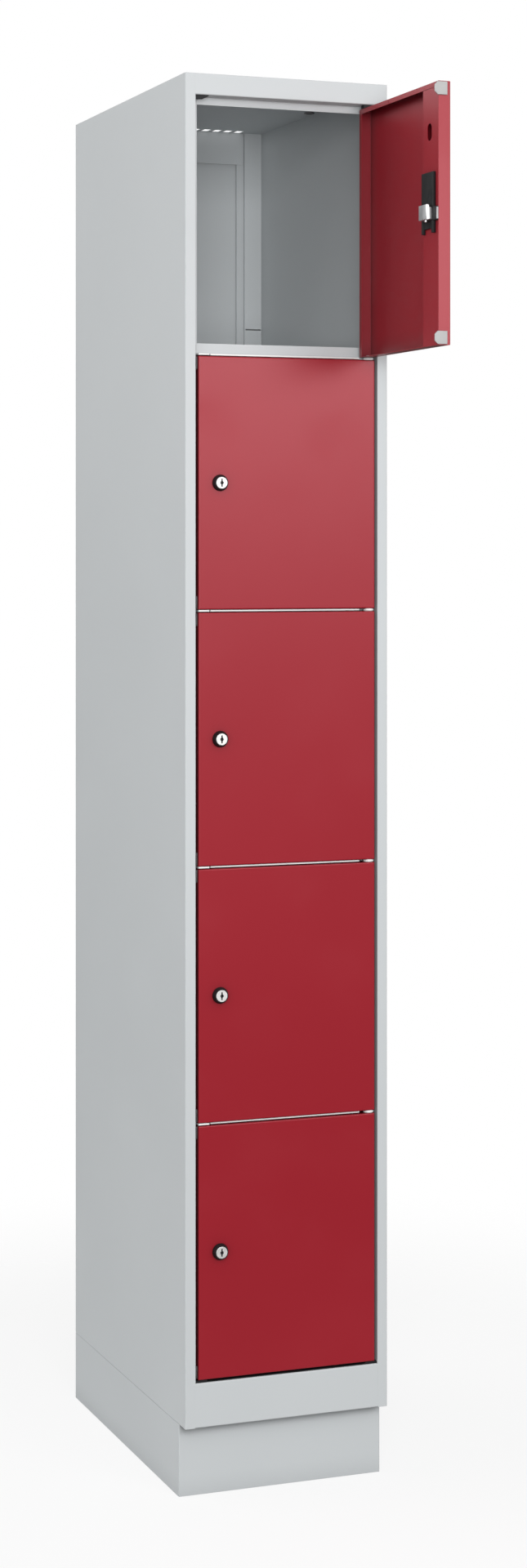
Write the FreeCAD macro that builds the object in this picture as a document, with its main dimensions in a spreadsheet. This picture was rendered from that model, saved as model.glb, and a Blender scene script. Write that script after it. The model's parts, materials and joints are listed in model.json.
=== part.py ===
import FreeCAD, Part
import Sketcher
import os
import re

# Compartment locker with five stacked doors, in millimetres.
# X runs to the right as seen from the front, Y runs to the back, Z is up.
# The origin is on the floor in the middle of the footprint.

# Driving sizes
SIZES = {
    "width": 300,
    "depth": 500,
    "height": 1950,
    "plinth_height": 100,
    "plinth_recess": 26.5,
    "plinth_skin": 1.5,
    "plinth_flange": 22,
    "seam": 0.7,
    "anchor_inset": 12,
    "anchor_front": 100,
    "anchor_rear": 70,
    "anchor_radius": 3,
    "anchor_hole": 3.2,
    "anchor_head": 5.5,
    "anchor_rise": 4,
    "foot_start": 50,
    "skin": 1,
    "bend": 1.8,
    "stile_width": 15,
    "fascia_height": 29.1,
    "rail_height": 61,
    "stop_setback": 24,
    "stop_overlap": 10,
    "stop_height": 16.4,
    "side_gap": 4,
    "top_gap": 6,
    "bottom_gap": 4,
    "shelf_gap": 3.9,
    "nose_thick": 1.9,
    "nose_rise": 0.3,
    "nose_recess": 9,
    "ear_width": 16,
    "notch_width": 1.4,
    "notch_depth": 5,
    "notch_reach": 15,
    "tongue_half": 4.5,
    "tongue_recess": 2,
    "shelf_return": 22,
    "shelf_wing": 20,
    "back_step": 11,
    "post_width": 28,
    "post_depth": 15,
    "vent_width": 11.2,
    "vent_length": 20,
    "vent_pitch": 17.8,
    "rear_flange": 50,
    "slit_rise": 59,
    "slit_height": 2,
    "plug_setback": 259,
    "plug_radius": 6,
    "plug_head": 7.5,
    "door_depth": 17.5,
    "hinge_lip": 8,
    "top_lip": 6.5,
    "channel_width": 49.4,
    "pivot_inset": 7,
    "pivot_setback": 7.5,
    "open_angle": 90,
    "pin_radius": 2.5,
    "pin_reach": 2,
    "washer_radius": 7.4,
    "washer_round": 1.2,
    "block_length": 19.5,
    "block_depth": 9.5,
    "seal_thick": 1.2,
    "lock_inset": 31.5,
    "collar_radius": 11.4,
    "collar_front": 9.2,
    "collar_height": 7,
    "cylinder_radius": 8.2,
    "barrel_length": 11,
    "case_edge": 9,
    "case_width": 36,
    "case_height": 80.5,
    "case_drop": 25,
    "case_plate": 4.3,
    "fork_left": 5.4,
    "fork_right": 4,
    "fork_depth": 6.4,
    "oblong_width": 13.8,
    "oblong_height": 23,
    "oblong_rise": 109.4,
    "driver_length": 24,
    "driver_height": 19.5,
    "driver_depth": 8,
    "bolt_height": 15.6,
    "bolt_thick": 2.8,
    "bolt_length": 42,
    "cap_depth": 18.2,
    "cap_height": 17.4,
    "cap_chamfer": 4.4,
    "cap_thick": 1.6,
}

# Sizes that follow from the driving ones
DERIVED = {
    "half": "width / 2",
    "front": "0 - depth / 2",
    "back": "depth / 2",
    "opening": "half - stile_width",
    "stop": "front + stop_setback",
    "stop_inner": "opening - stop_overlap",
    "post_face": "back - post_depth",
    "post_inner": "half - skin - post_width",
    "back_face": "post_face + 3.5 * skin",
    "nose_front": "front + nose_recess",
    "nose_root": "nose_front + notch_depth",
    "rail_top": "plinth_height + rail_height",
    "floor_top": "rail_top + stop_height",
    "fascia_bottom": "height - fascia_height",
    "door_width": "2 * (opening - side_gap)",
    "door_stack": "fascia_bottom - top_gap - rail_top - bottom_gap - 4 * shelf_gap",
    "door_height": "door_stack / 5",
    "pitch": "door_height + shelf_gap",
    "pivot_x": "opening - side_gap - pivot_inset",
    "pivot_y": "front + pivot_setback",
    "ear_outer": "opening - side_gap",
    "ear_inner": "ear_outer - ear_width",
    "washer_half": "shelf_gap / 2 - 0.1",
    "block_front": "front + 2.5",
    "block_back": "block_front + block_depth",
    "top_block": "0.8 * top_gap",
    "bottom_block": "bottom_gap - 0.8",
    "anchor_x": "half - anchor_inset",
    "free_edge": "pivot_inset - door_width",
    "face": "0 - pivot_setback",
    "rim": "door_depth - pivot_setback",
    "mid": "door_height / 2",
    "lock_x": "free_edge + lock_inset",
    "channel_end": "free_edge + channel_width",
    "channel_top": "door_height - top_lip - 0.4",
    "barrel_radius": "cylinder_radius + 1.2",
    "barrel_end": "face + barrel_length",
    "lock_front": "face - collar_height",
    "spindle_radius": "cylinder_radius / 2",
    "case_left": "free_edge + case_edge",
    "case_right": "case_left + case_width",
    "case_bottom": "mid - case_drop",
    "case_top": "case_bottom + case_height",
    "plate_top": "rim + case_plate",
    "driver_low": "plate_top + 0.2",
    "driver_step": "driver_low + 0.5 * driver_depth",
    "driver_top": "driver_low + driver_depth",
    "bolt_low": "rim + 0.2",
    "bolt_top": "bolt_low + bolt_thick",
    "bolt_half": "bolt_height / 2",
    "groove_top": "bolt_top + 0.3",
    "groove_half": "bolt_half + 0.4",
    "tunnel_top": "groove_top + 0.6",
    "tunnel_half": "groove_half + 0.8",
    "cap_front": "face + 5.2",
    "cap_back": "cap_front + cap_depth",
    "peg_radius": "2.5",
    "peg_y": "cap_front + 5",
}

DOORS = range(1, 6)
SHELVES = range(1, 5)
LEFT, RIGHT = -1, 1
VENTS = 13
ANCHORS = ("front + anchor_front", "back - anchor_rear")

doc = FreeCAD.newDocument("compartment_locker")
sheet = doc.addObject("Spreadsheet::Sheet", "dims")
for row, (alias, value) in enumerate(SIZES.items(), start=1):
    sheet.set("A%d" % row, alias)
    sheet.set("B%d" % row, str(value))
    sheet.setAlias("B%d" % row, alias)
doc.recompute()

nodes = []


def ex(text):
    """Write out an expression on the sheet from the words in SIZES and DERIVED."""

    def swap(match):
        word = match.group(0)
        if word in DERIVED:
            return "(" + ex(DERIVED[word]) + ")"
        if word not in SIZES:
            raise KeyError(word)
        return "dims." + word

    return re.sub(r"[a-z_]+", swap, text)


def door_bottom(number):
    """Height of a door's lower edge."""
    return "rail_top + bottom_gap + %d * pitch" % (5 - number)


def gap_level(number):
    """Height of the middle of the gap under a door."""
    return "%s - shelf_gap / 2" % door_bottom(number)


def nose_level(number):
    """Height of the middle of the nose of the shelf under a door."""
    return gap_level(number) + " + nose_rise"


def both(size):
    """A range from minus a size to that size."""
    return "0 - (%s)" % size, size


def around(centre, size):
    """A range about a centre."""
    return "%s - (%s)" % (centre, size), "%s + (%s)" % (centre, size)


def aside(inner, outer, side):
    """A range on the left or the right of the middle, given by its distances from the middle."""
    if side == RIGHT:
        return inner, outer
    return "0 - (%s)" % outer, "0 - (%s)" % inner


def new_body(label):
    """A body that becomes one sub-part."""
    body = doc.addObject("PartDesign::Body", label)
    body.Label = label
    body.AllowCompound = True
    nodes.append(body)
    return body


def door_body(label, number):
    """A body in a door's frame, which has its origin on the pivot at the door's lower edge."""
    body = new_body("%s_%d" % (label, number))
    place(body, "pivot_x", "pivot_y", door_bottom(number))
    if number == 1:
        body.setExpression("Placement.Rotation.Angle", ex("open_angle"))
    return body


def place(thing, x, y, z):
    """Bind a position to the sheet."""
    for axis, text in zip("xyz", (x, y, z)):
        thing.setExpression("Placement.Base." + axis, ex(text))


def box(body, x, y, z, cut=False):
    """Add or cut a box between three pairs of planes."""
    kind = "SubtractiveBox" if cut else "AdditiveBox"
    feature = body.newObject("PartDesign::" + kind, kind)
    for size, (low, high) in zip(("Length", "Width", "Height"), (x, y, z)):
        feature.setExpression(size, ex("(%s) - (%s)" % (high, low)))
    place(feature, x[0], y[0], z[0])
    return feature


AIM = {
    "x": FreeCAD.Rotation(FreeCAD.Vector(0, 1, 0), 90),
    "y": FreeCAD.Rotation(FreeCAD.Vector(1, 0, 0), -90),
    "z": FreeCAD.Rotation(),
}


def rod(body, axis, start, length, radius, cut=False):
    """Add or cut a round bar that starts at a point and runs along an axis."""
    kind = "SubtractiveCylinder" if cut else "AdditiveCylinder"
    feature = body.newObject("PartDesign::" + kind, kind)
    feature.Placement = FreeCAD.Placement(FreeCAD.Vector(), AIM[axis])
    feature.setExpression("Radius", ex(radius))
    feature.setExpression("Height", ex(length))
    place(feature, *start)
    return feature


def origin_feature(body, role):
    """One of a body's own origin planes or axes."""
    return [item for item in body.Origin.OriginFeatures if item.Role == role][0]


def outline(body, role, corners, shift=("0", "0", "0")):
    """A sketch of a closed outline whose corners are bound to the sheet."""
    sketch = body.newObject("Sketcher::SketchObject", "Outline")
    sketch.AttachmentSupport = [(origin_feature(body, role), "")]
    sketch.MapMode = "FlatFace"
    for axis, text in zip("xyz", shift):
        sketch.setExpression("AttachmentOffset.Base." + axis, ex(text))
    count = len(corners)
    turns = [FreeCAD.Rotation(FreeCAD.Vector(0, 0, 1), 20 + 360 * i / count) for i in range(count)]
    points = [turn.multVec(FreeCAD.Vector(10, 0, 0)) for turn in turns]
    for i in range(count):
        sketch.addGeometry(Part.LineSegment(points[i], points[(i + 1) % count]))
    for i in range(count):
        sketch.addConstraint(Sketcher.Constraint("Coincident", i, 2, (i + 1) % count, 1))
    for i, corner in enumerate(corners):
        for rule, text, now in zip(("DistanceX", "DistanceY"), corner, points[i]):
            index = sketch.addConstraint(Sketcher.Constraint(rule, -1, 1, i, 1, now))
            sketch.setExpression("Constraints[%d]" % index, ex(text))
    return sketch


def pad(body, sketch, length):
    """Extrude a sketch."""
    feature = body.newObject("PartDesign::Pad", "Pad")
    feature.Profile = sketch
    feature.setExpression("Length", ex(length))
    return feature


def turn(body, sketch):
    """Turn a sketch round its own vertical axis."""
    feature = body.newObject("PartDesign::Revolution", "Revolution")
    feature.Profile = sketch
    feature.ReferenceAxis = (sketch, ["V_Axis"])
    feature.Angle = 360
    return feature


def soften(body, pick, radius):
    """Round the edges of the body so far that a test picks by their boxes."""
    doc.recompute()
    base = body.Tip
    whole = base.Shape.BoundBox
    edges = ["Edge%d" % i for i, edge in enumerate(base.Shape.Edges, 1) if pick(edge.BoundBox, whole)]
    feature = body.newObject("PartDesign::Fillet", "Fillet")
    feature.Base = (base, edges)
    feature.setExpression("Radius", ex(radius))
    return feature


def near(first, second):
    """Whether two positions are the same."""
    return abs(first - second) < 1e-3


def at_front(edge, whole):
    """An edge that lies in the foremost plane."""
    return near(edge.YMin, whole.YMin) and near(edge.YMax, whole.YMin)


def at_rear(edge, whole):
    """An edge that lies in the rearmost plane."""
    return near(edge.YMin, whole.YMax) and near(edge.YMax, whole.YMax)


def front_level(edge, whole):
    """A level edge in the foremost plane."""
    return at_front(edge, whole) and near(edge.ZMin, edge.ZMax)


def front_upright(edge, whole):
    """An upright edge in the foremost plane."""
    return at_front(edge, whole) and near(edge.XMin, edge.XMax)


def nose_edge(edge, whole):
    """A level edge along the front of a shelf's nose or ear."""
    level = near(edge.YMin, edge.YMax) and near(edge.ZMin, edge.ZMax)
    return level and edge.YMax < whole.YMin + SIZES["nose_recess"]


# Side walls
def side_wall(label, side):
    body = new_body(label)
    tall = ("plinth_height", "height")
    inside = ("plinth_height", "height - skin")
    gap = ("rail_top", "fascia_bottom")
    box(body, aside("half - skin", "half", side), ("front", "back"), tall)
    box(body, aside("opening + skin", "half", side), ("front", "front + skin"), tall)

    def outer_corner(edge, whole):
        outer = whole.XMax if side == RIGHT else whole.XMin
        return front_upright(edge, whole) and near(edge.XMin, outer)

    soften(body, outer_corner, "bend")
    box(body, aside("opening", "opening + skin", side), ("front", "stop + skin"), gap)

    def opening_corner(edge, whole):
        inner = whole.XMin if side == RIGHT else whole.XMax
        return front_upright(edge, whole) and near(edge.XMin, inner)

    soften(body, opening_corner, "0.9 * skin")
    box(body, aside("stop_inner", "opening + skin", side), ("stop", "stop + skin"), gap)
    box(body, aside("post_inner", "half - skin", side), ("post_face", "post_face + skin"), inside)
    box(body, aside("post_inner", "post_inner + skin", side), ("post_face", "back"), inside)
    box(body, aside("post_inner", "half - skin", side), ("back - skin", "back"), inside)
    foot = ("plinth_height", "plinth_height + skin")
    box(body, aside("half - plinth_flange", "half - skin", side), ("front + foot_start", "post_face"), foot)
    for y in ANCHORS:
        x = aside("anchor_x", "anchor_x", side)[0]
        rod(body, "z", (x, y, "plinth_height - 1"), "skin + 2", "anchor_hole", cut=True)
    floors = [nose_level(number) + " + stop_height" for number in SHELVES] + ["floor_top"]
    slit_side = aside("post_inner + 2 * skin", "half - 2 * skin", side)
    for floor in floors:
        slit = (floor + " + slit_rise", floor + " + slit_rise + slit_height")
        box(body, slit_side, ("post_face - 1", "post_face + skin"), slit, cut=True)
    if side == LEFT:
        for number in DOORS:
            strike = around(door_bottom(number) + " + mid", "bolt_half + 0.8")
            deep = ("pivot_y + bolt_low - 0.4", "pivot_y + bolt_top + 0.4")
            box(body, aside("opening - 1", "opening + skin", side), deep, strike, cut=True)


side_wall("side_wall_left", LEFT)
side_wall("side_wall_right", RIGHT)

# Top panel with fascia, stop strip and vent slots
top = new_body("top_panel")
box(top, both("opening + skin"), ("front", "front + skin"), ("fascia_bottom", "height"))
box(top, both("opening + skin"), ("front", "stop + skin"), ("fascia_bottom", "fascia_bottom + skin"))
soften(top, lambda edge, whole: front_level(edge, whole) and near(edge.ZMin, whole.ZMin), "bend")
box(top, both("half - skin"), ("front + skin", "back"), ("height - skin", "height"))
soften(top, lambda edge, whole: front_level(edge, whole) and near(edge.ZMin, whole.ZMax), "0.9 * skin")
strip = ("fascia_bottom - stop_overlap", "fascia_bottom + skin")
box(top, both("stop_inner"), ("stop", "stop + skin"), strip)
flange = ("height - rear_flange", "height - skin")
box(top, both("post_inner - skin"), ("back_face - skin", "back_face"), flange)
for side in (LEFT, RIGHT):
    plug = (aside("anchor_x", "anchor_x", side)[0], "front + plug_setback", "height - skin - 1")
    rod(top, "z", plug, "skin + 2", "plug_radius", cut=True)
first = around("0 - %d * vent_pitch" % (VENTS // 2), "vent_width / 2")
slot = box(top, first, ("post_face - vent_length", "post_face"), ("height - skin", "height"), cut=True)
row = top.newObject("PartDesign::LinearPattern", "LinearPattern")
row.Originals = [slot]
row.Direction = (origin_feature(top, "X_Axis"), [""])
row.Occurrences = VENTS
row.setExpression("Length", ex("%d * vent_pitch" % (VENTS - 1)))
top.Tip = row

# Bottom panel with front rail, stop strip and floor
bottom = new_body("bottom_panel")
box(bottom, both("opening + skin"), ("front", "front + skin"), ("plinth_height", "rail_top"))
box(bottom, both("opening + skin"), ("front", "stop + skin"), ("rail_top - skin", "rail_top"))
under = ("plinth_height", "plinth_height + skin")
box(bottom, both("opening + skin"), ("front", "front + foot_start"), under)
soften(bottom, front_level, "bend")
box(bottom, both("stop_inner"), ("stop", "stop + skin"), ("rail_top - skin", "floor_top"))
box(bottom, both("half - skin"), ("stop + skin", "post_face"), ("floor_top - skin", "floor_top"))
box(bottom, both("post_inner"), ("post_face", "back_face"), ("floor_top - skin", "floor_top"))

# Back panel with stepped edges
rear = new_body("back_panel")
upright = ("plinth_height + skin", "height - skin")
middle = "post_inner - back_step"
box(rear, both(middle), ("back_face + 4 * skin", "back_face + 5 * skin"), upright)
for side in (LEFT, RIGHT):
    box(rear, aside(middle + " - skin", middle, side), ("back_face", "back_face + 5 * skin"), upright)
    box(rear, aside(middle + " - skin", "post_inner", side), ("back_face", "back_face + skin"), upright)

# Shelves, each in a frame with its origin in the middle of its nose
for number in SHELVES:
    shelf = new_body("shelf_%d" % number)
    place(shelf, "0", "0", nose_level(number))
    nose = both("nose_thick / 2")
    board = ("stop_height - skin", "stop_height")
    box(shelf, both("ear_outer"), ("nose_root", "stop"), nose)
    box(shelf, ("0 - ear_outer", "pivot_x - notch_reach"), ("nose_front", "nose_root"), nose)
    box(shelf, ("0 - ear_outer", "0 - ear_inner"), ("front + 0.5", "nose_front"), nose)
    soften(shelf, nose_edge, "0.3 * nose_thick")
    notch = ("0 - ear_inner", "notch_width - ear_inner")
    box(shelf, notch, ("nose_front - 1", "nose_root"), nose, cut=True)
    box(shelf, around("pivot_x", "tongue_half"), ("front + tongue_recess", "nose_root"), nose)
    box(shelf, both("stop_inner"), ("stop", "stop + skin"), both("stop_height"))
    lower = ("0 - stop_height", "skin - stop_height")
    box(shelf, both("stop_inner"), ("stop", "stop + shelf_return"), lower)
    box(shelf, both("half - skin"), ("stop + skin", "post_face"), board)
    box(shelf, both("post_inner"), ("post_face", "back_face"), board)
    for side in (LEFT, RIGHT):
        wing = aside("half - 2 * skin", "half - skin", side)
        box(shelf, wing, ("stop + 4 * skin", "post_face"), ("stop_height - shelf_wing", "stop_height"))
    rod(shelf, "z", ("pivot_x", "pivot_y", "0 - nose_thick"), "2 * nose_thick", "pin_radius", cut=True)

# Plinth ring, set back at the front
plinth = new_body("plinth")
plinth_front = "front + plinth_recess"
box(plinth, both("half"), (plinth_front, "back"), ("0", "plinth_height"))
soften(plinth, front_upright, "bend")
for side in (LEFT, RIGHT):
    seam = aside("half - seam", "half + 1", side)
    box(plinth, seam, (plinth_front, "back + 1"), ("plinth_height - seam", "plinth_height + 1"), cut=True)
hollow = (plinth_front + " + plinth_skin", "back - plinth_skin")
box(plinth, both("half - plinth_skin"), hollow, ("plinth_skin", "plinth_height - plinth_skin"), cut=True)
hole = (plinth_front + " + plinth_flange", "back - plinth_flange")
box(plinth, both("half - plinth_flange"), hole, ("0 - 1", "plinth_height + 1"), cut=True)

# Bolts that hold the plinth to the side walls
bolts = new_body("plinth_bolts")
for side in (LEFT, RIGHT):
    x = aside("anchor_x", "anchor_x", side)[0]
    for y in ANCHORS:
        start = (x, y, "plinth_height - plinth_skin - 1")
        rod(plinth, "z", start, "plinth_skin + 2", "anchor_hole", cut=True)
        head = bolts.newObject("PartDesign::AdditivePrism", "AdditivePrism")
        head.Polygon = 6
        head.setExpression("Circumradius", ex("anchor_head"))
        head.setExpression("Height", ex("anchor_rise"))
        place(head, x, y, "plinth_height - plinth_skin - anchor_rise")
        rod(bolts, "z", start, "plinth_skin + skin + 7", "anchor_radius")

# Hinge pins, the round washers that clip over the shelves' hinge tongues, and the black corner blocks
pins = new_body("hinge_pins")
washers = new_body("hinge_washers")
for number in SHELVES:
    level = gap_level(number)
    low = level + " - shelf_gap / 2 - skin - pin_reach"
    rod(pins, "z", ("pivot_x", "pivot_y", low), "shelf_gap + 2 * skin + 2 * pin_reach", "pin_radius")
    corners = [
        ("0", "0 - washer_half"),
        ("washer_radius - washer_round", "0 - washer_half"),
        ("washer_radius", "washer_round - washer_half"),
        ("washer_radius", "washer_half - washer_round"),
        ("washer_radius - washer_round", "washer_half"),
        ("0", "washer_half"),
    ]
    turn(washers, outline(washers, "XZ_Plane", corners, ("pivot_x", level, "0 - (pivot_y)")))
    clip = around(nose_level(number), "nose_thick / 2")
    tongue = ("front + tongue_recess", "nose_root")
    box(washers, around("pivot_x", "tongue_half"), tongue, clip, cut=True)
    box(washers, around("pivot_x", "2 * washer_radius"), ("nose_root", "stop"), clip, cut=True)
low = "fascia_bottom - top_gap - skin - pin_reach"
rod(pins, "z", ("pivot_x", "pivot_y", low), "top_gap + skin + pin_reach", "pin_radius")
rod(pins, "z", ("pivot_x", "pivot_y", "rail_top"), "bottom_gap + skin + pin_reach", "pin_radius")
rod(washers, "z", ("pivot_x", "pivot_y", "rail_top"), "fascia_bottom - rail_top", "pin_radius", cut=True)

top_blocks = new_body("top_blocks")
corners = [
    ("0 - opening", "fascia_bottom"),
    ("0 - opening", "fascia_bottom - top_block"),
    ("0.65 * block_length - opening", "fascia_bottom - top_block"),
    ("block_length - opening", "fascia_bottom - 0.35 * top_block"),
    ("block_length - opening", "fascia_bottom"),
]
pad(top_blocks, outline(top_blocks, "XZ_Plane", corners, ("0", "0", "0 - (block_back)")), "block_depth")
drop = ("fascia_bottom - top_block", "fascia_bottom")
box(top_blocks, ("opening - block_length", "opening"), ("block_front", "block_back"), drop)
rod(top_blocks, "z", ("pivot_x", "pivot_y", "fascia_bottom - top_gap"), "top_gap", "pin_radius", cut=True)

bottom_blocks = new_body("bottom_blocks")
rise = ("rail_top", "rail_top + bottom_block")
box(bottom_blocks, both("opening"), ("block_front", "block_back"), ("rail_top", "rail_top + seal_thick"))
for side in (LEFT, RIGHT):
    corner = aside("opening - 0.9 * block_length", "opening", side)
    box(bottom_blocks, corner, ("block_front", "block_back"), rise)
rod(bottom_blocks, "z", ("pivot_x", "pivot_y", "rail_top"), "bottom_gap", "pin_radius", cut=True)

# Plugs in the ceiling
plugs = new_body("top_plugs")
for side in (LEFT, RIGHT):
    x = aside("anchor_x", "anchor_x", side)[0]
    y = "front + plug_setback"
    rod(plugs, "z", (x, y, "height - 3 * skin"), "2 * skin", "plug_head")
    rod(plugs, "z", (x, y, "height - 2 * skin"), "2 * skin", "plug_radius")
    rod(plugs, "z", (x, y, "height - 3 * skin - 1"), "1.5 * skin + 1", "plug_radius - skin", cut=True)


# Door pan with hinge lip and top lip
def door_pan(number):
    body = door_body("door", number)
    box(body, ("free_edge", "pivot_inset"), ("face", "rim"), ("0", "door_height"))
    soften(body, at_front, "bend")
    inside = ("free_edge + skin", "pivot_inset - skin")
    box(body, inside, ("face + skin", "rim + 1"), ("skin", "door_height - skin"), cut=True)
    lip = ("rim - skin", "rim")
    box(body, ("free_edge", "pivot_inset"), lip, ("door_height - top_lip", "door_height"))
    box(body, ("pivot_inset - hinge_lip", "pivot_inset"), lip, ("0", "door_height"))
    tick = "pivot_inset - 0.38 * door_width"
    box(body, (tick, tick + " + 0.8"), lip, ("door_height - top_lip", "door_height - skin"), cut=True)
    rod(body, "z", ("0", "0", "0 - 1"), "door_height + 2", "pin_radius + 0.05", cut=True)
    rod(body, "y", ("lock_x", "face - 1", "mid"), "skin + 2", "barrel_radius", cut=True)
    for z in ("1 + cap_height / 2", "door_height - 1 - cap_height / 2"):
        rod(body, "x", ("free_edge - 1", "peg_y", z), "skin + 2", "peg_radius", cut=True)


# Channel that stiffens the free edge and carries the lock
def lock_channel(number):
    body = door_body("lock_channel", number)
    strip = ("rim - skin", "rim")
    through = ("rim - skin - 1", "rim + 1")
    tall = ("skin", "channel_top")
    box(body, ("free_edge + skin", "channel_end"), strip, tall)
    box(body, ("channel_end - skin", "channel_end"), ("face + skin", "rim"), tall)

    def corner(edge, whole):
        return at_rear(edge, whole) and near(edge.XMin, whole.XMax)

    soften(body, corner, "0.9 * skin")
    centre = "free_edge + 0.57 * channel_width"
    straight = "(oblong_height - oblong_width) / 2"
    box(body, around(centre, "oblong_width / 2"), through, around("mid + oblong_rise", straight), cut=True)
    for z in around("mid + oblong_rise", straight):
        rod(body, "y", (centre, through[0], z), "skin + 2", "oblong_width / 2", cut=True)
    box(body, ("case_left + 3", "case_right - 3"), through, ("mid - 14", "case_top - 3"), cut=True)


# Black lock case with a forked lower end and a tunnel for the latch bolt
def lock_case(number):
    body = door_body("lock_case", number)
    box(body, ("case_left", "case_right"), ("rim", "plate_top"), ("case_bottom", "case_top"))
    fork = ("case_left + fork_left", "case_right - fork_right")
    notch = ("case_bottom - 1", "case_bottom + fork_depth")
    box(body, fork, ("rim - 1", "plate_top + 1"), notch, cut=True)
    soften(body, at_rear, "0.3 * case_plate")
    hollow = ("case_bottom", "mid - groove_half - 1.2")
    box(body, fork, ("rim + 0.5 * case_plate", "plate_top + 1"), hollow, cut=True)
    box(body, ("case_left + 4", "case_right - 4"), ("face + skin", "rim"), ("mid + 14", "case_top - 4"))
    tunnel = around("mid", "tunnel_half")
    box(body, ("free_edge + 0.6", "case_left + 2"), ("rim", "tunnel_top"), tunnel)
    groove = around("mid", "groove_half")
    box(body, ("free_edge", "case_right - 2"), ("rim - 1", "groove_top"), groove, cut=True)
    rod(body, "y", ("lock_x", "rim - 1", "mid"), "case_plate + 2", "spindle_radius + 0.3", cut=True)


# Tapered collar with its barrel
def lock_collar(number):
    body = door_body("lock_collar", number)
    inner = "cylinder_radius + 0.06"
    corners = [
        (inner, "lock_front"),
        ("collar_front", "lock_front"),
        ("collar_radius", "face - 0.16 * collar_height"),
        ("collar_radius", "face"),
        ("barrel_radius", "face"),
        ("barrel_radius", "barrel_end"),
        (inner, "barrel_end"),
    ]
    turn(body, outline(body, "XY_Plane", corners, ("lock_x", "0", "mid")))


# Key cylinder with its spindle and keyway
def lock_cylinder(number):
    body = door_body("lock_cylinder", number)
    corners = [
        ("0", "lock_front - 0.4"),
        ("cylinder_radius - 0.5", "lock_front - 0.4"),
        ("cylinder_radius", "lock_front + 0.1"),
        ("cylinder_radius", "barrel_end"),
        ("spindle_radius", "barrel_end"),
        ("spindle_radius", "driver_low"),
        ("0", "driver_low"),
    ]
    turn(body, outline(body, "XY_Plane", corners, ("lock_x", "0", "mid")))
    deep = ("lock_front - 1", "lock_front + 5")
    keyway = around("lock_x", "0.12 * cylinder_radius")
    box(body, keyway, deep, around("mid", "0.66 * cylinder_radius"), cut=True)
    rod(body, "y", ("lock_x", "lock_front - 1", "mid"), "5", "0.3 * cylinder_radius", cut=True)


# Chrome block that turns with the cylinder
def lock_driver(number):
    body = door_body("lock_driver", number)
    low = "mid - 0.4 * driver_height"
    along = ("lock_x - 0.85 * driver_length", "lock_x + 0.15 * driver_length")
    box(body, along, ("driver_step", "driver_top"), (low, "mid + 0.6 * driver_height"))
    soften(body, at_rear, "0.15 * driver_depth")
    box(body, along, ("driver_low", "driver_step"), (low, "mid + 0.42 * driver_height"))
    nub = ("lock_x - 0.42 * driver_length", "driver_step", low + " - 3.4")
    rod(body, "z", nub, "4.4", "0.22 * driver_depth")


# Latch bolt, forked round the spindle
def latch_bolt(number):
    body = door_body("latch_bolt", number)
    start = "free_edge + 0.1"
    box(body, (start, start + " + bolt_length"), ("bolt_low", "bolt_top"), around("mid", "bolt_half"))
    fork = ("lock_x - spindle_radius - 0.4", start + " + bolt_length + 1")
    deep = ("bolt_low - 1", "bolt_top + 1")
    box(body, fork, deep, around("mid", "spindle_radius + 0.4"), cut=True)


# Light grey buffers at both ends of the free edge
def corner_caps(number):
    body = door_body("corner_caps", number)
    for low in ("1", "door_height - 1 - cap_height"):
        corners = [
            ("cap_front", low),
            ("cap_back - cap_chamfer", low),
            ("cap_back", low + " + cap_chamfer"),
            ("cap_back", low + " + cap_height - cap_chamfer"),
            ("cap_back - cap_chamfer", low + " + cap_height"),
            ("cap_front", low + " + cap_height"),
        ]
        pad(body, outline(body, "YZ_Plane", corners, ("0", "0", "free_edge - cap_thick")), "cap_thick")
        peg = ("free_edge - 0.5 * cap_thick", "peg_y", low + " + cap_height / 2")
        rod(body, "x", peg, "skin + 3", "peg_radius")


for number in DOORS:
    door_pan(number)
    lock_channel(number)
    lock_case(number)
    lock_collar(number)
    lock_cylinder(number)
    lock_driver(number)
    latch_bolt(number)
    corner_caps(number)

doc.recompute()

# Every object is checked before any file is written
faults = [item.Label for item in doc.Objects if "Invalid" in item.State or "Error" in item.State]
for node in nodes:
    if node.Shape.isNull() or not node.Shape.isValid() or not node.Shape.Solids:
        faults.append(node.Label)
if faults:
    raise RuntimeError("failed: " + ", ".join(faults))

os.makedirs("parts", exist_ok=True)
for node in nodes:
    node.Shape.exportStep("parts/%s.step" % node.Label)
    print(node.Label, len(node.Shape.Solids), round(node.Shape.Volume), node.Shape.BoundBox)
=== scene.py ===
# %% [markdown]
# # A steel compartment locker, dressed in Blender
# The locker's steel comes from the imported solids, which stay where they are. This lesson adds the
# finishes, the small moulded and plated parts that want rounder shapes, a camera and a studio.
# Everything is in metres: X runs to the right, Y to the back and Z up.

# %% Load the locker
import json
import math

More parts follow.
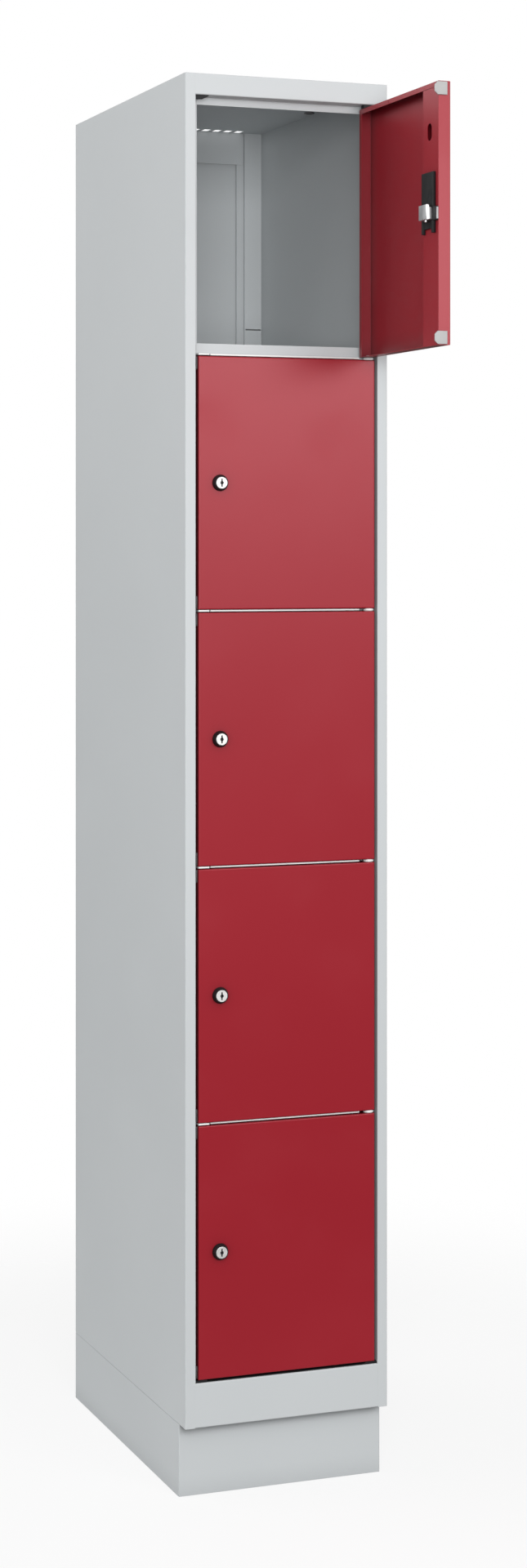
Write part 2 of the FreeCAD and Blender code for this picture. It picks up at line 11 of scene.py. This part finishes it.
import bmesh
import bpy
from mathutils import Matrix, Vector


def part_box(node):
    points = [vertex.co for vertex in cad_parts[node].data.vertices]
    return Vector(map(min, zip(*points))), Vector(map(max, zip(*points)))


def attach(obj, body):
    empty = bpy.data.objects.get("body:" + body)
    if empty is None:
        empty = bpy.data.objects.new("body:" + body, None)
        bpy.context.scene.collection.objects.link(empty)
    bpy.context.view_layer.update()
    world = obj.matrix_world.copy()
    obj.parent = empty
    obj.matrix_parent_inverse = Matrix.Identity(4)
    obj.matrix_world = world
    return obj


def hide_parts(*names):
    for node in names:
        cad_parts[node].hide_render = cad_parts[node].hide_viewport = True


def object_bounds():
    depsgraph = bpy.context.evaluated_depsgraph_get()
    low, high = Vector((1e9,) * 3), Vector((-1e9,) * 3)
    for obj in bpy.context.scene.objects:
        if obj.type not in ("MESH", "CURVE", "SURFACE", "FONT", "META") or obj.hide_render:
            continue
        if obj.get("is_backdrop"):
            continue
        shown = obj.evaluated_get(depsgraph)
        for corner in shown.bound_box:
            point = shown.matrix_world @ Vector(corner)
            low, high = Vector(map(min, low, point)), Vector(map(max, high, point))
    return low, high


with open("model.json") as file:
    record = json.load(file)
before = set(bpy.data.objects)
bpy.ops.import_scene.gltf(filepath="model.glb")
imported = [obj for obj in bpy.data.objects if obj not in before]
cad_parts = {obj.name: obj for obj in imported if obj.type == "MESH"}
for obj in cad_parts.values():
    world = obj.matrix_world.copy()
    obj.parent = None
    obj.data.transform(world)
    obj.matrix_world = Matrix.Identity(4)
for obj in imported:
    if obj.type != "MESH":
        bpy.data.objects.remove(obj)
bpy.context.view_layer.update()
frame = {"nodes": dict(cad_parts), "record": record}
bpy.ops.object.select_all(action="DESELECT")
nodes = frame["nodes"]

# %% [markdown]
# ## Camera
# The picture was taken with a level camera, a little left of the locker and about as high as a person's
# chest, so that upright edges stay upright. A lens shift then frames the whole locker. Tilting the camera
# would make the uprights lean, so the camera stays level and the shift does the framing.

# %% Place the camera
PHOTO = (645, 1920)
FOCAL_PX = 3371
CENTRE_PX = (271.5, 672.4)
YAW = math.radians(20.4)
bpy.ops.object.camera_add(location=(-1.411, -3.783, 1.300), rotation=(math.pi / 2, 0, -YAW))
camera = bpy.context.object
camera.data.sensor_width = 36
camera.data.lens = FOCAL_PX * 36 / PHOTO[1]
camera.data.shift_x = (PHOTO[0] / 2 - CENTRE_PX[0]) / PHOTO[1]
camera.data.shift_y = (CENTRE_PX[1] - PHOTO[1] / 2) / PHOTO[1]
bpy.context.scene.camera = camera
bpy.context.scene.view_settings.view_transform = "Standard"
shift = (camera.data.shift_x, camera.data.shift_y)
print("lens", round(camera.data.lens, 2), "shift", [round(v, 4) for v in shift])

# %% [markdown]
# ## A small language for finishes
# A finish is a tree of nodes. Writing every node out by hand hides the idea, so one small class wraps a
# node's output: adding or multiplying two of them adds a Math node, and its `node` method makes any other
# node from its type, its settings and what goes into its sockets.


# %% Wrap a socket so that finishes read as sums
class Wire:
    def __init__(self, tree, socket=None):
        self.tree = tree
        self.socket = socket

    def node(self, kind, inputs, out=0, **settings):
        made = self.tree.nodes.new("ShaderNode" + kind)
        for name, value in settings.items():
            setattr(made, name, value)
        for key, value in inputs.items():
            if isinstance(value, Wire):
                self.tree.links.new(value.socket, made.inputs[key])
            else:
                made.inputs[key].default_value = value
        return Wire(self.tree, made.outputs[out] if made.outputs else None)

    def maths(self, operation, first, second=0.0):
        return self.node("Math", {0: first, 1: second}, operation=operation)

    def __add__(self, other):
        return self.maths("ADD", self, other)

    def __sub__(self, other):
        return self.maths("SUBTRACT", self, other)

    def __rsub__(self, other):
        return self.maths("SUBTRACT", other, self)

    def __mul__(self, other):
        return self.maths("MULTIPLY", self, other)

    __radd__ = __add__
    __rmul__ = __mul__

    def between(self, low, high):
        """0 below one value, 1 above another, and smooth in between."""
        return self.node("MapRange", {0: self, 1: low, 2: high}, interpolation_type="SMOOTHSTEP")

    def blend(self, first, second):
        """A colour that goes from one to another as this value goes from 0 to 1."""
        return self.node("Mix", {0: self, 6: first, 7: second}, out=2, data_type="RGBA")


def new_finish(name):
    """An empty material, a wire to start from, and the place of a point on the object."""
    finish = bpy.data.materials.new(name)
    finish.use_nodes = True
    finish.node_tree.nodes.clear()
    start = Wire(finish.node_tree)
    return finish, start, start.node("TexCoord", {}, out="Object")


def noise(place, per_metre, detail=2.0):
    """Soft noise with so many cells to a metre."""
    return place.node("TexNoise", {"Vector": place, "Scale": per_metre, "Detail": detail})


def rgb(red, green, blue):
    """An opaque colour."""
    return red, green, blue, 1.0


print("finishes are written as sums of wires")

# %% [markdown]
# ## Powder coat
# Sheet steel is dusted with paint powder and baked. The coat flows into a soft skin with a faint
# orange-peel ripple and a slightly uneven gloss. It is painted lighter along folded edges: a painted
# highlight that also stands for the coat being a little thinner there.
# The ripple is a fine bump. The edge is found by comparing a rounded normal with the true one, which also
# gives every sharp fold of the sheet the small radius that a press brake leaves. Deep in the folds, where a
# point sees little of its surroundings, the coat is painted darker: this is painted shade.


# %% Mix the powder coats
def powder_coat(name, base, pale, painted_shade, gloss, shine, tint):
    finish, start, place = new_finish(name)
    # Painted shade: the less of its surroundings a point sees within 30 mm, the nearer its colour is to the
    # darker third colour.
    free = start.node("AmbientOcclusion", {"Distance": 0.03}, out="AO", samples=4)
    rounded = start.node("Bevel", {"Radius": 0.0003}, samples=4)
    true = start.node("NewGeometry", {}, out="Normal")
    same = start.node("VectorMath", {0: rounded, 1: true}, out="Value", operation="DOT_PRODUCT")
    # Painted highlight, which also stands for a thinner coat: folded edges are made lighter.
    edge = (1 - same).between(0.03, 0.45)
    cloud = noise(place, 2.3, 3)
    speckle = noise(place, 2400, 1)
    tone = cloud.between(0.3, 0.7) * 0.5 + speckle.between(0.35, 0.75) * 0.25 + edge * 0.5
    smudge = noise(place, 9, 4).between(0.45, 0.75)
    peel = noise(place, 620, 2) + 0.35 * noise(place, 1900, 1)
    bump = start.node("Bump", {"Height": peel, "Strength": 0.10, "Distance": 0.0004, "Normal": rounded})
    shader = start.node("BsdfPrincipled", {
        "Base Color": free.blend(painted_shade, tone.blend(base, pale)),
        "Roughness": gloss + 0.05 * smudge + 0.04 * speckle,
        "Normal": bump,
        "Specular IOR Level": shine,
        "Specular Tint": tint,
    })
    start.node("OutputMaterial", {"Surface": shader})
    return finish


# The third colour of each coat is the painted shade of its deep folds.
finishes = {
    "body_grey": powder_coat(
        "grey_powder_coat", rgb(0.612, 0.640, 0.652), rgb(0.644, 0.672, 0.684), rgb(0.500, 0.522, 0.532),
        0.46, 0.50, rgb(1, 1, 1)),
    "door_red": powder_coat(
        "red_powder_coat", rgb(0.330, 0.010, 0.020), rgb(0.362, 0.014, 0.025), rgb(0.085, 0.002, 0.005),
        0.32, 0.68, rgb(1, 0.62, 0.66)),
}
print("powder coats:", sorted(finishes))

# %% [markdown]
# ## Moulded plastic
# The lock case, the collars and the blocks in the corners are black plastic, the buffers are light grey and
# the hinge washers white. A mould leaves a fine even grain, with soft cloudy patches where the plastic
# flowed, so the same recipe serves all three with its own colours. In narrow gaps, as between a closed door
# and the side wall, a third, darker colour is painted shade, set by how little of its surroundings a point
# sees.


# %% Mix the plastics
def moulded(name, base, pale, painted_shade, gloss, shine):
    finish, start, place = new_finish(name)
    # Painted shade: a point that sees little of its surroundings within 30 mm, as in a narrow gap, turns to
    # the darker third colour.
    free = start.node("AmbientOcclusion", {"Distance": 0.03}, out="AO", samples=4)
    rounded = start.node("Bevel", {"Radius": 0.0003}, samples=4)
    flow = noise(place, 45, 3)
    fine = noise(place, 3800, 1)
    bump = start.node("Bump", {"Height": fine, "Strength": 0.12, "Distance": 0.0002, "Normal": rounded})
    tone = flow.between(0.3, 0.7) * 0.7 + fine * 0.3
    shader = start.node("BsdfPrincipled", {
        "Base Color": free.between(0.3, 0.9).blend(painted_shade, tone.blend(base, pale)),
        "Roughness": gloss + 0.08 * flow,
        "Normal": bump,
        "Specular IOR Level": shine,
    })
    start.node("OutputMaterial", {"Surface": shader})
    return finish


# The third colour of each plastic is painted shade for narrow gaps.
finishes["black_plastic"] = moulded(
    "black_plastic", rgb(0.010, 0.010, 0.011), rgb(0.015, 0.015, 0.016), rgb(0.008, 0.008, 0.009), 0.50, 0.28)
finishes["cap_grey"] = moulded(
    "buffer_plastic", rgb(0.45, 0.445, 0.445), rgb(0.50, 0.495, 0.49), rgb(0.030, 0.022, 0.023), 0.50, 0.45)
# This white serves the hinge washers and also paints the highlight of the shelf edging.
finishes["white_plastic"] = moulded(
    "washer_and_highlight_white", rgb(0.90, 0.90, 0.89), rgb(0.94, 0.94, 0.93), rgb(0.88, 0.88, 0.87), 0.40, 0.50)
print("plastics:", sorted(finishes)[:3])

# %% [markdown]
# ## Plated metal
# Pins, bolts and latch tabs are zinc plated and show a crystal mottle. The key cylinder is satin nickel,
# fine turned and pale. The driver block is chrome, a little dulled by handling, with smudges in its gloss.


# %% Mix the plated metals
def plated(name, base, pale, gloss, cells, satin):
    finish, start, place = new_finish(name)
    rounded = start.node("Bevel", {"Radius": 0.0003}, samples=4)
    mottle = start.node("TexVoronoi", {"Vector": place, "Scale": cells}, out="Distance")
    smudge = noise(place, 160, 3).between(0.4, 0.75)
    scratch = noise(place, 5200, 1)
    bump = start.node("Bump", {"Height": scratch, "Strength": satin, "Distance": 0.0001, "Normal": rounded})
    shader = start.node("BsdfPrincipled", {
        "Base Color": (mottle * 0.8 + scratch * 0.2).blend(base, pale),
        "Metallic": 1.0,
        "Roughness": gloss + 0.10 * smudge,
        "Normal": bump,
    })
    start.node("OutputMaterial", {"Surface": shader})
    return finish


finishes["zinc_steel"] = plated(
    "zinc_plate", rgb(0.34, 0.325, 0.33), rgb(0.44, 0.425, 0.43), 0.48, 700, 0.10)
finishes["nickel"] = plated(
    "satin_nickel", rgb(0.88, 0.875, 0.86), rgb(0.94, 0.935, 0.92), 0.52, 1500, 0.06)
finishes["driver_chrome"] = plated(
    "polished_chrome", rgb(0.80, 0.80, 0.81), rgb(0.84, 0.84, 0.85), 0.38, 1200, 0.01)
print("finishes:", len(finishes))

# %% Give every steel, plastic and plated node its finish
for row in frame["record"]["subparts"]:
    steel = nodes[row["node"]].data
    steel.materials.clear()
    steel.materials.append(finishes[row["material_slot"]])

# %% [markdown]
# ## Small parts of the lock
# The folded steel is right as it comes, but moulded and plated parts never have knife edges. They are
# modelled again on the second door, which is closed, and are then copied to the other doors. The
# places come from the boxes of the solids that they stand for, so nothing has to be fitted by eye.
# A few helpers come first: one selects, one adds a block, and the others pick edges or faces by where they
# are, round them, and cut or join two shapes.


# %% Helpers for modelling
MM = 0.001
DOORS = range(1, 6)


def only(*things):
    """Select these objects alone, the first one active."""
    bpy.ops.object.select_all(action="DESELECT")
    for thing in things:
        thing.select_set(True)
    bpy.context.view_layer.objects.active = things[0]


def block(low, high):
    """A box between two corners, with its place in its mesh."""
    low, high = Vector(low), Vector(high)
    bpy.ops.mesh.primitive_cube_add(size=1, location=(low + high) / 2, scale=high - low)
    bpy.ops.object.transform_apply(location=True, rotation=True, scale=True)
    return bpy.context.object


def edit_edges(piece, test):
    """Edit a piece with the edges selected whose two ends pass a test."""
    only(piece)
    bpy.ops.object.mode_set(mode="EDIT")
    bpy.ops.mesh.select_mode(type="EDGE")
    bpy.ops.mesh.select_all(action="DESELECT")
    mesh = bmesh.from_edit_mesh(piece.data)
    for edge in mesh.edges:
        edge.select_set(test(edge.verts[0].co, edge.verts[1].co))
    bmesh.update_edit_mesh(piece.data)


def round_edges(piece, test, radius, segments):
    """Bevel the edges that a test picks."""
    edit_edges(piece, test)
    bpy.ops.mesh.bevel(offset=radius, segments=segments, affect="EDGES", clamp_overlap=True)
    bpy.ops.object.mode_set(mode="OBJECT")


def combine(piece, tool, operation):
    """Join another shape to a piece or cut it away, and use that shape up."""
    change = piece.modifiers.new("combine", "BOOLEAN")
    change.operation = operation
    change.object = tool
    change.solver = "EXACT"
    only(piece)
    bpy.ops.object.modifier_apply(modifier=change.name)
    bpy.data.objects.remove(tool)


def ease(piece, radius, segments=2):
    """Break every sharp edge of a piece by a small radius and shade it smooth."""
    change = piece.modifiers.new("ease", "BEVEL")
    change.width = radius
    change.segments = segments
    change.limit_method = "ANGLE"
    change.angle_limit = math.radians(35)
    only(piece)
    bpy.ops.object.modifier_apply(modifier=change.name)
    bpy.ops.object.shade_smooth_by_angle(angle=math.radians(40))


def level_with(*places):
    """A test that picks edges both of whose ends have these values of (axis, place)."""
    def test(first, second):
        return all(abs(end[axis] - place) < 0.05 * MM for end in (first, second) for axis, place in places)
    return test


print("helpers ready for", len(DOORS), "doors")

# %% [markdown]
# Each lock part is made once and hung on all the doors. The closed doors are one above the other, so a
# copy is only lifted. The top door stands open at a right angle, so its copy is lifted and then turned
# about the hinge. Its box is compared with the box of the solid that it stands for.

# %% Hang a copy on every door
joints = {row["name"]: row for row in frame["record"]["behaviour"]["joints"]}
HINGE = Vector(joints["door_2_hinge"]["pos_m"])
X, Y, Z = 0, 1, 2


def hang(master, kind, body, node, slot):
    """Copy a piece from the second door to the others, and let each stand for its node, if it has one."""
    worst = 0
    for number in DOORS:
        piece = master
        if number != 2:
            only(master)
            bpy.ops.object.duplicate(linked=False)
            piece = bpy.context.object
            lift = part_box("door_%d" % number)[0].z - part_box("door_2")[0].z
            bpy.ops.transform.translate(value=(0, 0, lift))
        if number == 1:
            bpy.ops.transform.rotate(
                value=-math.pi / 2, orient_axis="Z", center_override=(HINGE.x, HINGE.y, 0))
        only(piece)
        bpy.ops.object.transform_apply(location=True, rotation=True, scale=True)
        piece.name = "%s_%d" % (kind, number)
        piece.data.name = piece.name
        piece.data.materials.clear()
        piece.data.materials.append(finishes[slot])
        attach(piece, "%s_%d" % (body, number))
        if node:
            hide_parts("%s_%d" % (node, number))
            box_low, box_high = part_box("%s_%d" % (node, number))
            for axis in (X, Y, Z):
                places = [corner.co[axis] for corner in piece.data.vertices]
                worst = max(worst, abs(min(places) - box_low[axis]), abs(max(places) - box_high[axis]))
    print(kind, "triangles:", sum(len(face.vertices) - 2 for face in master.data.polygons),
          "largest difference from the solid in mm:", round(worst / MM, 2))


# %% [markdown]
# ## Driver block
# The plated block behind the door turns with the key. It is a die casting: a taller front step, a lower
# back step against the case and a small nub underneath. Castings have round corners, and the polished
# rounds catch the light, so the edge towards the door's free side and the lower edge get a generous round.

# %% Model the driver block
low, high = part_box("lock_driver_2")
middle = Vector(joints["lock_2_turn"]["pos_m"]).z
step = (low.y + high.y) / 2
DRIVER_DROP = 7.8 * MM
BACK_STEP_RISE = 8.2 * MM
NUB_RADIUS = 1.76 * MM
NUB_LENGTH = 5 * MM
foot = middle - DRIVER_DROP
driver = block((low.x, step, foot), (high.x, high.y, high.z))
round_edges(driver, level_with((X, low.x), (Y, high.y)), 1.4 * MM, 5)
round_edges(driver, level_with((Y, high.y), (Z, foot)), 2.2 * MM, 6)
round_edges(driver, level_with((X, low.x), (Z, foot)), 0.8 * MM, 4)
back_step = block((low.x, low.y, foot), (high.x, step + 1.0 * MM, middle + BACK_STEP_RISE))
round_edges(back_step, level_with((X, low.x), (Z, foot)), 0.8 * MM, 4)
combine(driver, back_step, "UNION")
nub_x = low.x + 0.43 * (high.x - low.x)
bpy.ops.mesh.primitive_cylinder_add(
    vertices=32, radius=NUB_RADIUS, depth=NUB_LENGTH, location=(nub_x, step, low.z + NUB_LENGTH / 2))
nub = bpy.context.object
bpy.ops.object.transform_apply(location=True)
round_edges(nub, level_with((Z, low.z)), 0.9 * MM, 3)
combine(driver, nub, "UNION")
ease(driver, 0.3 * MM)
hang(driver, "driver_block", "lock", "lock_driver", "driver_chrome")

# %% [markdown]
# ## Lock housing
# The black case is an injection moulding: a thick plate with round edges, two legs at its lower end with
# a sunk field between them, and a low tunnel to the door's free edge in which the latch bolt slides. It is
# one block with cuts, as the mould would have it. The hollow for the bolt stays open below.

# %% Model the lock housing
low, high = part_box("lock_case_2")
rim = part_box("door_2")[1].y
bolt_low, bolt_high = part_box("latch_bolt_2")
TUNNEL_LENGTH = 8.4 * MM
LEFT_LEG = 5.4 * MM
RIGHT_LEG = 4.0 * MM
NOTCH_HEIGHT = 6.4 * MM
FIELD_RISE = 2.15 * MM
SPINDLE_HOLE = 4.4 * MM
PLAY = 0.4 * MM
left = low.x + TUNNEL_LENGTH
legs = (left + LEFT_LEG, high.x - RIGHT_LEG)
groove_top = bolt_high.y + 0.3 * MM
groove = (bolt_low.z - PLAY, bolt_high.z + PLAY)
housing = block((left, rim, low.z), (high.x, high.y, high.z))
notch = block((legs[0], rim - MM, low.z - MM), (legs[1], high.y + MM, low.z + NOTCH_HEIGHT))
combine(housing, notch, "DIFFERENCE")
field = block((legs[0], rim + FIELD_RISE, low.z), (legs[1], high.y + MM, groove[0] - 1.2 * MM))
combine(housing, field, "DIFFERENCE")
round_edges(housing, level_with((Y, high.y)), 1.0 * MM, 4)
tunnel_corner = (left + 2 * MM, groove_top + 0.6 * MM, groove[1] + 0.8 * MM)
tunnel = block((low.x, rim, groove[0] - 0.8 * MM), tunnel_corner)
combine(housing, tunnel, "UNION")
slide = block((low.x - MM, rim - MM, groove[0]), (high.x - 2 * MM, groove_top, groove[1]))
combine(housing, slide, "DIFFERENCE")
body_of_lock = block((left + 4 * MM, low.y, middle + 14 * MM), (high.x - 4 * MM, rim + MM, high.z - 4 * MM))
combine(housing, body_of_lock, "UNION")
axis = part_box("lock_cylinder_2")
bpy.ops.mesh.primitive_cylinder_add(
    vertices=48, radius=SPINDLE_HOLE, depth=12 * MM, rotation=(math.pi / 2, 0, 0),
    location=((axis[0].x + axis[1].x) / 2, high.y, middle))
spindle_hole = bpy.context.object
bpy.ops.object.transform_apply(location=True, rotation=True)
combine(housing, spindle_hole, "DIFFERENCE")
ease(housing, 0.2 * MM)
hang(housing, "lock_housing", "door", "lock_case", "black_plastic")

# %% [markdown]
# ## Edge buffers
# A pale plastic buffer at the top and the bottom of each free edge keeps the door from rattling. Each is a
# flat tab with two corners cut off and soft edges, held by a peg that snaps into the sheet. One is made at
# the lower end, given its peg, and copied to the upper end.

# %% Model the edge buffers
low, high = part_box("corner_caps_2")
edge_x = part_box("door_2")[0].x
TAB_HEIGHT = 17.4 * MM
CORNER_CUT = 4.4 * MM
PEG_RADIUS = 2.48 * MM
buffer = block((low.x, low.y, low.z), (edge_x, high.y, low.z + TAB_HEIGHT))
for corner in (low.z, low.z + TAB_HEIGHT):
    round_edges(buffer, level_with((Y, high.y), (Z, corner)), CORNER_CUT, 1)
round_edges(buffer, level_with((X, low.x)), 0.55 * MM, 4)
bpy.ops.mesh.primitive_cylinder_add(
    vertices=32, radius=PEG_RADIUS, depth=high.x - edge_x + 0.5 * MM, rotation=(0, math.pi / 2, 0),
    location=((high.x + edge_x - 0.5 * MM) / 2, low.y + 5 * MM, low.z + TAB_HEIGHT / 2))
peg = bpy.context.object
bpy.ops.object.transform_apply(location=True, rotation=True)
round_edges(peg, level_with((X, high.x)), 0.6 * MM, 2)
combine(buffer, peg, "UNION")
ease(buffer, 0.15 * MM)
only(buffer)
bpy.ops.object.duplicate(linked=False)
upper = bpy.context.object
bpy.ops.transform.translate(value=(0, 0, high.z - low.z - TAB_HEIGHT))
bpy.ops.object.transform_apply(location=True)
only(buffer, upper)
bpy.ops.object.join()
hang(buffer, "edge_buffers", "door", "corner_caps", "cap_grey")

# %% [markdown]
# ## Lock collar
# A black tapered collar frames each key cylinder and runs on as a barrel through the sheet. It is a turned
# shape, so it starts as a short cylinder whose front face is drawn out and narrowed, set in and pushed
# back to make the bore. The barrel is drawn out of the rear face in the same way.


# %% Model the lock collar
def pick_face(piece, axis, place):
    """Edit a piece with the flat faces selected that lie at one place along an axis."""
    only(piece)
    bpy.ops.object.mode_set(mode="EDIT")
    bpy.ops.mesh.select_mode(type="FACE")
    bpy.ops.mesh.select_all(action="DESELECT")
    mesh = bmesh.from_edit_mesh(piece.data)
    for face in mesh.faces:
        face.select_set(all(abs(corner.co[axis] - place) < 0.02 * MM for corner in face.verts))
    bmesh.update_edit_mesh(piece.data)


def draw_out(distance):
    """Extrude the selected face along Y."""
    bpy.ops.mesh.extrude_region_move(TRANSFORM_OT_translate={"value": (0, distance, 0)})


low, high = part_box("lock_collar_2")
centre = (low + high) / 2
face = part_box("door_2")[0].y
outer = (high.x - low.x) / 2
FRONT_RADIUS = 9.2 * MM
BORE_RADIUS = 8.26 * MM
BARREL_RADIUS = 9.4 * MM
base = 0.8 * MM
bpy.ops.mesh.primitive_cylinder_add(
    vertices=72, radius=outer, depth=base, rotation=(math.pi / 2, 0, 0),
    location=(centre.x, face - base / 2, centre.z))
collar = bpy.context.object
bpy.ops.object.transform_apply(location=True, rotation=True)
pick_face(collar, Y, face - base)
draw_out(low.y - face + base)
taper = FRONT_RADIUS / outer
bpy.ops.transform.resize(value=(taper, 1, taper), center_override=(centre.x, low.y, centre.z))
bpy.ops.mesh.inset(thickness=FRONT_RADIUS - BORE_RADIUS)
draw_out(high.y - low.y - 0.5 * MM)
bpy.ops.object.mode_set(mode="OBJECT")
pick_face(collar, Y, face)
bpy.ops.mesh.inset(thickness=outer - BARREL_RADIUS)
draw_out(high.y - face)
bpy.ops.object.mode_set(mode="OBJECT")
ease(collar, 0.25 * MM, 3)
hang(collar, "lock_collar_ring", "door", "lock_collar", "black_plastic")

# %% [markdown]
# ## Key slots
# A key slot looks black, because its depth swallows the light. The plated cylinder has the slot cut into it,
# but its bright walls would fill it with light, so a dark core sits a little below the face: a round for
# the key's shaft with a flat bar for its bit, joined and with its front edges broken.

# %% Model the key slots
low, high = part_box("lock_cylinder_2")
centre = (low + high) / 2
radius = (high.x - low.x) / 2
CORE_LENGTH = 3 * MM
sunk = low.y + 0.7 * MM
bar = (0.13 * radius, 0.665 * radius)
core = block(
    (centre.x - bar[0], sunk, middle - bar[1]), (centre.x + bar[0], sunk + CORE_LENGTH, middle + bar[1]))
bpy.ops.mesh.primitive_cylinder_add(
    vertices=40, radius=0.305 * radius, depth=CORE_LENGTH, rotation=(math.pi / 2, 0, 0),
    location=(centre.x, sunk + CORE_LENGTH / 2, middle))
shaft = bpy.context.object
bpy.ops.object.transform_apply(location=True, rotation=True)
combine(core, shaft, "UNION")
ease(core, 0.1 * MM)
hang(core, "key_slot", "lock", None, "black_plastic")

# %% [markdown]
# ## Edging of the shelves
# The thin nose of a shelf shows between two doors as a bright line. A white edging is clipped over it, and
# its white is a painted highlight for that line. The edging is a flat bar with a round front and a slot for
# the nose, and a short clip over the ear on the lock side. It is made once and copied upwards and downwards
# to the other shelves.

# %% Model the edging
SHELVES = range(1, 5)
HALF = 1.1 * MM
SLOT_HALF = 0.95 * MM
FRONT_ROUND = 0.4 * MM
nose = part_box("shelf_2")[0].y + 8.5 * MM
rear = nose + 4.6 * MM
free_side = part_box("door_2")[0].x
gap = (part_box("door_3")[1].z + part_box("door_2")[0].z) / 2 + 0.3 * MM


def edging_bar(start, end, lead):
    """A bar with a round front in the gap between two doors."""
    bar = block((start, lead, gap - HALF), (end, rear, gap + HALF))
    for side in (-HALF, HALF):
        round_edges(bar, level_with((Y, lead), (Z, gap + side)), FRONT_ROUND, 4)
    return bar


def edging_slot(start, end, front):
    """The hollow of a bar, open at its back and both ends."""
    return block((start - MM, front, gap - SLOT_HALF), (end + MM, rear + 1.4 * MM, gap + SLOT_HALF))


lock_end = free_side + 18.8 * MM
hinge_end = HINGE.x - 15 * MM
ear = (free_side + 0.1 * MM, free_side + 15.9 * MM)
ear_lead = nose - 8.9 * MM
edging = edging_bar(lock_end, hinge_end, nose - 5 * MM)
combine(edging, edging_bar(ear[0], ear[1], ear_lead), "UNION")
combine(edging, edging_slot(lock_end, hinge_end, nose), "DIFFERENCE")
combine(edging, edging_slot(ear[0], ear[1], ear_lead + FRONT_ROUND), "DIFFERENCE")
ease(edging, 0.1 * MM)
for number in SHELVES:
    piece = edging
    if number != 2:
        only(edging)
        bpy.ops.object.duplicate(linked=False)
        piece = bpy.context.object
        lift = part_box("shelf_%d" % number)[0].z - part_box("shelf_2")[0].z
        bpy.ops.transform.translate(value=(0, 0, lift))
        bpy.ops.object.transform_apply(location=True)
    piece.name = "nose_highlight_edging_%d" % number
    piece.data.name = piece.name
    piece.data.materials.clear()
    # The white of the edging is a painted highlight: the bright line between two doors.
    piece.data.materials.append(finishes["white_plastic"])
    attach(piece, "carcass")
print("edgings:", len(SHELVES), "length in mm:", round((hinge_end - lock_end) / MM, 1))

# %% [markdown]
# ## Studio
# The locker stands on a pale floor in a white room. The room's walls glow softly, most of all behind on
# the left, where they light the side wall. A softbox beside the camera reaches into the open compartment,
# and a low one in front on the right is mirrored in the upper doors as their sheen. The floor fades out a
# short way from the locker and throws little light back, so that the lower doors stay deep in colour.

# %% Lay the floor
FLOOR_RADIUS = 2.4
bpy.ops.mesh.primitive_circle_add(
    vertices=96, radius=FLOOR_RADIUS, fill_type="TRIFAN", location=(0, 0, -0.0003))
floor = bpy.context.object
floor.name = "floor"
bpy.ops.object.transform_apply(location=True)
floor_finish, start, place = new_finish("pale_floor")
away = start.node("VectorMath", {0: place}, out="Value", operation="LENGTH")
pale = noise(place, 3, 2).blend(rgb(0.86, 0.86, 0.86), rgb(0.90, 0.90, 0.90))
paint = start.node("BsdfDiffuse", {"Color": pale})
white = start.node("Emission", {"Color": rgb(1, 1, 1), "Strength": 1.0})
bright = start.node("MixShader", {0: 0.82, 1: paint, 2: white})
dull = start.node("BsdfDiffuse", {"Color": rgb(0.28, 0.28, 0.28)})
seen = start.node("LightPath", {}, out="Is Camera Ray")
cover = start.node("MixShader", {0: seen, 1: dull, 2: bright})
clear = start.node("BsdfTransparent", {})
faded = start.node("MixShader", {0: away.between(0.7, 1.6), 1: cover, 2: clear})
start.node("OutputMaterial", {"Surface": faded})
floor.data.materials.append(floor_finish)
floor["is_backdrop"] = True
print("floor radius", FLOOR_RADIUS)

# %% Light the room
room = bpy.data.worlds.new("white_room")
bpy.context.scene.world = room
room.use_nodes = True
room.node_tree.nodes.clear()
start = Wire(room.node_tree)
way = start.node("TexCoord", {}, out="Generated")
across, along, up = [start.node("SeparateXYZ", {0: way}, out=axis) for axis in "XYZ"]
overhead = up.between(0.35, 0.75)
wall = up.between(-0.08, 0.12) * (1 - overhead)
front = (-1 * along).between(0.3, 0.8)
left = (-1 * across).between(0.3, 0.8)
right = across.between(0.3, 0.8)
behind = along.between(-0.2, 0.2)
walls = 0.54 * front + (0.50 + 2.15 * behind) * left + 0.5 * right + 0.6 * behind
ground = 0.13 * (1 - up.between(-0.08, 0.12))
glow = wall * walls + (0.35 + 0.85 * front) * overhead + ground
seen = start.node("LightPath", {}, out="Is Camera Ray")
sky = start.node("Background", {"Color": rgb(1, 1, 1), "Strength": seen + (1 - seen) * glow})
start.node("OutputWorld", {"Surface": sky})


def softbox(name, place, target, wide, tall, power):
    """A rectangular soft light at a place, aimed at a target."""
    aim = (Vector(target) - Vector(place)).to_track_quat("-Z", "Y").to_euler()
    bpy.ops.object.light_add(type="AREA", location=place, rotation=aim)
    lamp = bpy.context.object
    lamp.name = name
    lamp.data.shape = "RECTANGLE"
    lamp.data.size = wide
    lamp.data.size_y = tall
    lamp.data.energy = power


softbox("sheen_light", (1.5, -4.0, 2.05), (0, -0.25, 1.5), 1.5, 0.8, 32)
softbox("fill_light", (-0.9, -3.3, 1.72), (0, -0.2, 1.45), 1.4, 1.4, 55)

# %% Measure the visual size and finish
low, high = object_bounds()
print("visual size:", [round(v, 4) for v in high - low])
